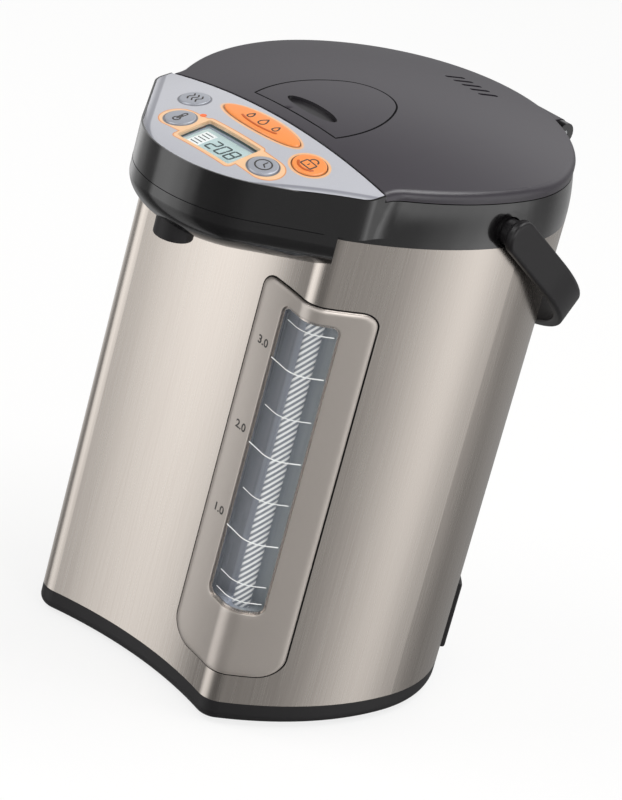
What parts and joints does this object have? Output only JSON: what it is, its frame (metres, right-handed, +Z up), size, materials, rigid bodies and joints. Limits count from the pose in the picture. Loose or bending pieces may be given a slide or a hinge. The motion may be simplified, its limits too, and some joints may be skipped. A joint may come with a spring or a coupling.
{
  "type": "electric thermo pot",
  "caption": "Electric hot water pot with a hinged crowned lid, folding carry handle, front beak with spout and keys, and a level window on its front ridge",
  "frame": {"origin": "centre of the foot ring, on the surface that the pot stands on, under the tank's axis", "axes": "+Z up, the spout faces -Y, the level window is on the +X side of the front"},
  "size_m": [0.234, 0.2988, 0.3424],
  "materials": {
    "brushed_steel_shell": "vertical satin brushing",
    "tank_steel": "deep drawn, satin",
    "lid_plastic": "satin charcoal",
    "black_plastic": "semi-gloss black",
    "base_plastic": "fine textured black",
    "panel_silver": "silver paint under clear lacquer",
    "trim_silver": "warm silver paint",
    "orange_key": "printed keycap",
    "grey_key": "printed keycap",
    "clear_plastic": "clear",
    "seal_rubber": "translucent silicone",
    "foot_rubber": "matt black",
    "inner_plastic": "moulded heat-proof plastic",
    "screw_steel": "zinc plated",
    "board": "glass fibre board",
    "display": "liquid crystal module",
    "motor_steel": "drawn can"
  },
  "bodies": {
    "pot": {"base_rim": "base_plastic", "foot_ring": "foot_rubber", "bottom_cover": "base_plastic", "bottom_screws": "screw_steel", "body_shell": "brushed_steel_shell", "window_trim": "trim_silver", "window_glass": "clear_plastic", "gauge_channel": "inner_plastic", "gauge_tube": "clear_plastic", "inner_tank": "tank_steel", "vacuum_jacket": "tank_steel", "mouth_seal": "seal_rubber", "tank_support": "inner_plastic", "heater_plate": "tank_steel", "thermostat": "inner_plastic", "suction_pipe": "seal_rubber", "pump_housing": "inner_plastic", "pump_motor": "motor_steel", "pump_hose": "seal_rubber", "delivery_pipe": "seal_rubber", "power_board": "board", "board_screws": "screw_steel", "inlet_housing": "base_plastic", "inlet_contacts": "screw_steel", "collar": "black_plastic", "hinge_pin": "screw_steel", "beak_cover": "black_plastic", "spout_nozzle": "base_plastic", "control_panel": "panel_silver", "display_window": "clear_plastic", "control_board": "board", "control_screws": "screw_steel", "display_module": "display", "tact_switches": "inner_plastic", "lamp_lens": "clear_plastic", "handle_pins": "screw_steel"},
    "lid": {"lid_shell": "lid_plastic", "lid_tray": "inner_plastic", "lid_screws": "screw_steel", "inner_lid": "tank_steel", "lid_gasket": "seal_rubber", "vent_plate": "black_plastic", "lever_pin": "screw_steel"},
    "lever": {"lid_lever": "lid_plastic"},
    "latch": {"lid_latch": "base_plastic"},
    "bail": {"handle": "base_plastic"},
    "impeller": {"pump_impeller": "inner_plastic"},
    "dispense_key": {"button_dispense": "orange_key"},
    "unlock_key": {"button_unlock": "orange_key"},
    "reheat_key": {"button_reheat": "grey_key"},
    "timer_key": {"button_timer": "grey_key"},
    "temperature_key": {"button_temperature": "grey_key"}
  },
  "joints": [
    {"name": "lid_hinge", "type": "hinge", "parent": "pot", "child": "lid", "pos_m": [0, 0.1115, 0.3205], "axis": [-1, 0, 0], "range_deg": [0, 95]},
    {"name": "lever_hinge", "type": "hinge", "parent": "lid", "child": "lever", "pos_m": [0, -0.056, 0.33496], "axis": [1, 0, 0], "range_deg": [0, 20], "stiffness_Nm_per_rad": 0.3},
    {"name": "latch_slide", "type": "slide", "parent": "lid", "child": "latch", "axis": [0, 1, 0], "range_m": [0, 0.0012]},
    {"name": "handle_swing", "type": "hinge", "parent": "pot", "child": "bail", "pos_m": [0, -0.012, 0.306], "axis": [1, 0, 0], "range_deg": [0, 135]},
    {"name": "dispense_press", "type": "slide", "parent": "pot", "child": "dispense_key", "axis": [0, 0.2131, -0.977], "range_m": [0, 0.001], "stiffness_N_per_m": 500},
    {"name": "unlock_press", "type": "slide", "parent": "pot", "child": "unlock_key", "axis": [0, 0.2131, -0.977], "range_m": [0, 0.001], "stiffness_N_per_m": 500},
    {"name": "reheat_press", "type": "slide", "parent": "pot", "child": "reheat_key", "axis": [0, 0.2131, -0.977], "range_m": [0, 0.001], "stiffness_N_per_m": 500},
    {"name": "timer_press", "type": "slide", "parent": "pot", "child": "timer_key", "axis": [0, 0.2131, -0.977], "range_m": [0, 0.001], "stiffness_N_per_m": 500},
    {"name": "temperature_press", "type": "slide", "parent": "pot", "child": "temperature_key", "axis": [0, 0.2131, -0.977], "range_m": [0, 0.001], "stiffness_N_per_m": 500},
    {"name": "impeller_spin", "type": "hinge", "parent": "pot", "child": "impeller", "pos_m": [0.044, -0.034, 0.03], "axis": [0, 0, 1], "continuous": true}
  ],
  "couplings": [
    {"joint": "latch_slide", "follows": "lever_hinge", "m_per_rad": 0.0034}
  ]
}
